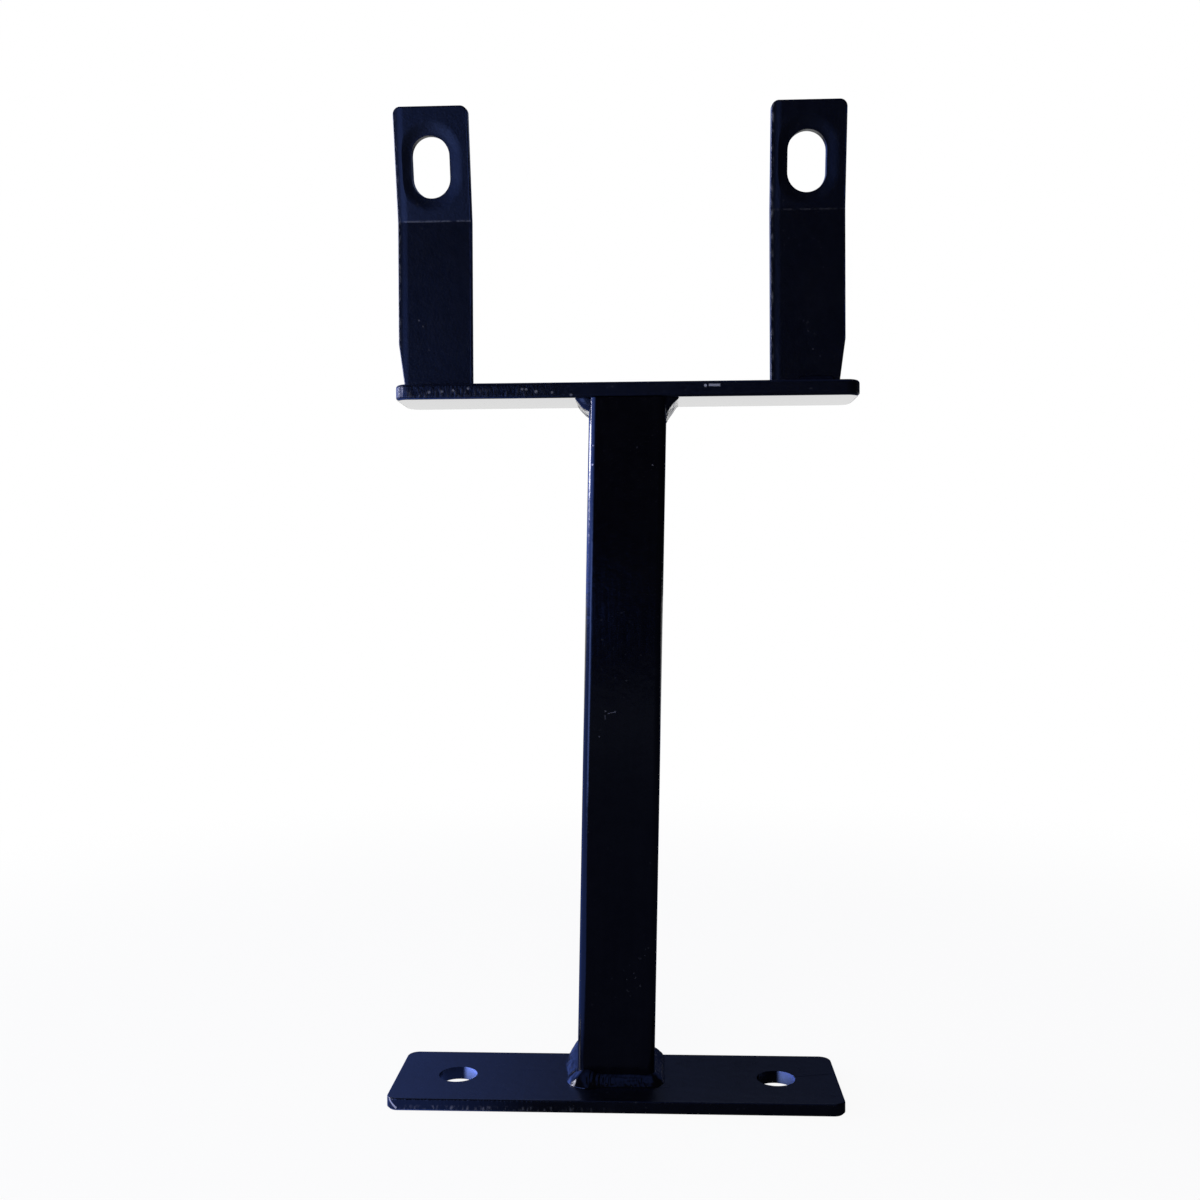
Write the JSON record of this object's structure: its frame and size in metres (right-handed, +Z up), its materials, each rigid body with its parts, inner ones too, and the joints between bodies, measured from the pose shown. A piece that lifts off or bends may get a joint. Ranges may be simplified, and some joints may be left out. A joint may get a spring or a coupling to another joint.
{
  "type": "seat bracket",
  "caption": "Welded seat bracket: square tube post between a drilled foot plate and a cross bar with slotted, bent arms.",
  "frame": {"origin": "middle of the two foot holes, on the underside of the foot plate", "axes": "+Z up along the post from the foot plate to the arms, +X along the foot plate to the right, +Y to the back, away from the side on which the foot plate stands out in front of the post"},
  "size_m": [0.1525, 0.04, 0.3251],
  "materials": {
    "coated_plate": "satin black powder coat on flat steel bar",
    "coated_tube": "satin black powder coat on square steel tube",
    "coated_weld": "black powder coat over weld beads"
  },
  "bodies": {
    "root": {"base_plate": "coated_plate", "post": "coated_tube", "cross_bar": "coated_plate", "left_arm": "coated_plate", "right_arm": "coated_plate", "foot_weld": "coated_weld", "left_head_weld": "coated_weld", "right_head_weld": "coated_weld", "left_arm_weld": "coated_weld", "right_arm_weld": "coated_weld"}
  },
  "joints": []
}
